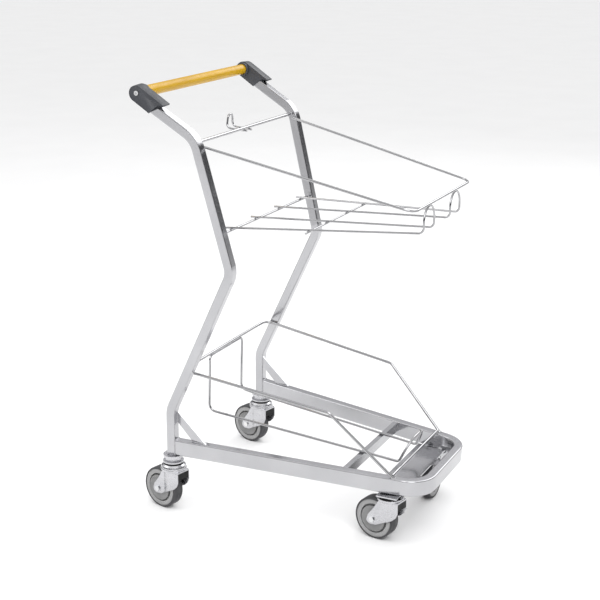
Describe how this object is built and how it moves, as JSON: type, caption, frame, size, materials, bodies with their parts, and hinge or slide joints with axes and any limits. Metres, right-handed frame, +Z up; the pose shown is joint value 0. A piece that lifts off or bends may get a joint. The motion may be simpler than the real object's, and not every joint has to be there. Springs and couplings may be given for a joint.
{
  "type": "airport luggage trolley",
  "caption": "Nesting airport luggage trolley with bent tube uprights, tapered base on swivel casters, wire racks and a sleeved push handle.",
  "frame": {"origin": "on the floor under the middle of the trolley", "axes": "+X forwards, away from the person pushing; +Y to that person's left; +Z up"},
  "size_m": [0.6961, 0.5232, 1.0185],
  "materials": {
    "plated_tube": "bright zinc plated, satin",
    "plated_wire": "bright plated",
    "caster_steel": "bright zinc plated",
    "fastener": "bright zinc plated",
    "grip_yellow": "satin",
    "bracket_plastic": "fine grained",
    "black_plastic": "satin",
    "plug_nylon": "satin",
    "guard_plastic": "satin",
    "core_plastic": "satin",
    "tyre_rubber": "matt"
  },
  "bodies": {
    "frame": {"base_frame": "plated_tube", "upright_left": "plated_tube", "upright_right": "plated_tube", "gusset_left": "plated_tube", "gusset_right": "plated_tube", "mid_crossmember": "plated_tube", "front_plate": "plated_tube", "top_cross_rod": "plated_wire", "bag_hook": "plated_wire", "upper_rim_wire": "plated_wire", "upper_rear_crossbar": "plated_wire", "upper_mid_crossbar": "plated_wire", "upper_hairpin_left": "plated_wire", "upper_hairpin_right": "plated_wire", "lower_rim_wire": "plated_wire", "lower_front_bar": "plated_wire", "lower_hairpin": "plated_wire", "handle_core": "plated_tube", "handle_grip": "grip_yellow", "handle_bracket_left": "bracket_plastic", "handle_bracket_right": "bracket_plastic", "handle_screws": "fastener", "handle_plugs": "plug_nylon", "leg_inserts": "caster_steel", "leg_nuts": "caster_steel", "caster_plates": "caster_steel", "swivel_heads": "black_plastic", "race_covers": "caster_steel", "plate_bolts": "fastener", "plate_nuts": "fastener", "kingpins": "fastener", "race_balls": "fastener"},
    "swivel_rear_left": {"fork_rear_left": "caster_steel", "toe_guard_rear_left": "black_plastic", "axle_bolt_rear_left": "fastener", "thread_guards_rear_left": "guard_plastic"},
    "wheel_rear_left": {"wheel_core_rear_left": "core_plastic", "tyre_rear_left": "tyre_rubber", "wheel_bearings_rear_left": "fastener"},
    "swivel_rear_right": {"fork_rear_right": "caster_steel", "toe_guard_rear_right": "black_plastic", "axle_bolt_rear_right": "fastener", "thread_guards_rear_right": "guard_plastic"},
    "wheel_rear_right": {"wheel_core_rear_right": "core_plastic", "tyre_rear_right": "tyre_rubber", "wheel_bearings_rear_right": "fastener"},
    "swivel_front_left": {"fork_front_left": "caster_steel", "toe_guard_front_left": "black_plastic", "axle_bolt_front_left": "fastener", "thread_guards_front_left": "guard_plastic"},
    "wheel_front_left": {"wheel_core_front_left": "core_plastic", "tyre_front_left": "tyre_rubber", "wheel_bearings_front_left": "fastener"},
    "swivel_front_right": {"fork_front_right": "caster_steel", "toe_guard_front_right": "black_plastic", "axle_bolt_front_right": "fastener", "thread_guards_front_right": "guard_plastic"},
    "wheel_front_right": {"wheel_core_front_right": "core_plastic", "tyre_front_right": "tyre_rubber", "wheel_bearings_front_right": "fastener"}
  },
  "joints": [
    {"name": "swivel_rear_left", "type": "hinge", "parent": "frame", "child": "swivel_rear_left", "pos_m": [-0.264, 0.226, 0.106], "axis": [0, 0, 1], "continuous": true},
    {"name": "roll_rear_left", "type": "hinge", "parent": "swivel_rear_left", "child": "wheel_rear_left", "pos_m": [-0.29796, 0.23447, 0.05], "axis": [0.2419, 0.9703, 0], "continuous": true},
    {"name": "swivel_rear_right", "type": "hinge", "parent": "frame", "child": "swivel_rear_right", "pos_m": [-0.264, -0.226, 0.106], "axis": [0, 0, 1], "continuous": true},
    {"name": "roll_rear_right", "type": "hinge", "parent": "swivel_rear_right", "child": "wheel_rear_right", "pos_m": [-0.29796, -0.21753, 0.05], "axis": [0.2419, 0.9703, 0], "continuous": true},
    {"name": "swivel_front_left", "type": "hinge", "parent": "frame", "child": "swivel_front_left", "pos_m": [0.261, 0.149, 0.106], "axis": [0, 0, 1], "continuous": true},
    {"name": "roll_front_left", "type": "hinge", "parent": "swivel_front_left", "child": "wheel_front_left", "pos_m": [0.261, 0.114, 0.05], "axis": [-1, 0, 0], "continuous": true},
    {"name": "swivel_front_right", "type": "hinge", "parent": "frame", "child": "swivel_front_right", "pos_m": [0.261, -0.149, 0.106], "axis": [0, 0, 1], "continuous": true},
    {"name": "roll_front_right", "type": "hinge", "parent": "swivel_front_right", "child": "wheel_front_right", "pos_m": [0.22664, -0.14232, 0.05], "axis": [0.1908, 0.9816, 0], "continuous": true}
  ]
}
